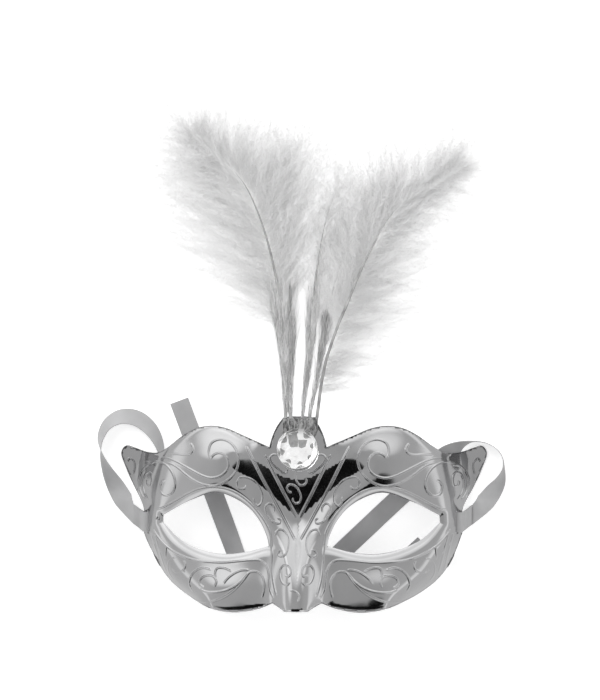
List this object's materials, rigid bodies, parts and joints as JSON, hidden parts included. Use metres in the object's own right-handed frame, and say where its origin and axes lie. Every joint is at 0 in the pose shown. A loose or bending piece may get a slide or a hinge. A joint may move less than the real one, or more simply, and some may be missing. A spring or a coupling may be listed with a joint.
{
  "type": "venetian masquerade mask",
  "caption": "Metallised half mask with cat-eye tips, a faceted stone on a centre tab, upright feathers and a looped tie ribbon at each side slot.",
  "frame": {"origin": "centre of the bounding box of everything but the free tie ribbons, at the table the mask lies on, face up", "axes": "+Z out of the mask's face, +Y from the nose towards the brow and the feathers, +X to the right of a viewer facing the mask"},
  "size_m": [0.204, 0.247, 0.0635],
  "materials": {
    "silver_plastic": "metallised, mirror-like silver",
    "clear_acrylic": "clear, polished facets",
    "mirror_foil": "mirror foil",
    "hot_glue": "milky, slightly glossy",
    "quill_shaft": "semi-gloss keratin",
    "feather_down": "soft down",
    "satin_ribbon": "satin"
  },
  "bodies": {
    "mask": {"mask_shell": "silver_plastic", "glue_pad": "hot_glue", "gem_foil": "mirror_foil", "gem": "clear_acrylic", "quill_left_outer": "quill_shaft", "quill_left_inner": "quill_shaft", "quill_middle": "quill_shaft", "quill_right_inner": "quill_shaft", "quill_right_outer": "quill_shaft", "plume_left_outer": "feather_down", "plume_left_inner": "feather_down", "plume_middle": "feather_down", "plume_right_inner": "feather_down", "plume_right_outer": "feather_down", "ribbon_left_tie": "satin_ribbon", "ribbon_right_tie": "satin_ribbon"},
    "left_loop": {"ribbon_left_loop": "satin_ribbon", "ribbon_left_glue": "hot_glue"},
    "right_loop": {"ribbon_right_loop": "satin_ribbon", "ribbon_right_glue": "hot_glue"}
  },
  "joints": [
    {"name": "left_loop_swing", "type": "hinge", "parent": "mask", "child": "left_loop", "pos_m": [-0.07773, -0.0799, 0.00887], "axis": [0, 1, 0], "range_deg": [-25, 25]},
    {"name": "right_loop_swing", "type": "hinge", "parent": "mask", "child": "right_loop", "pos_m": [0.07773, -0.0799, 0.00887], "axis": [0, 1, 0], "range_deg": [-25, 25]}
  ]
}
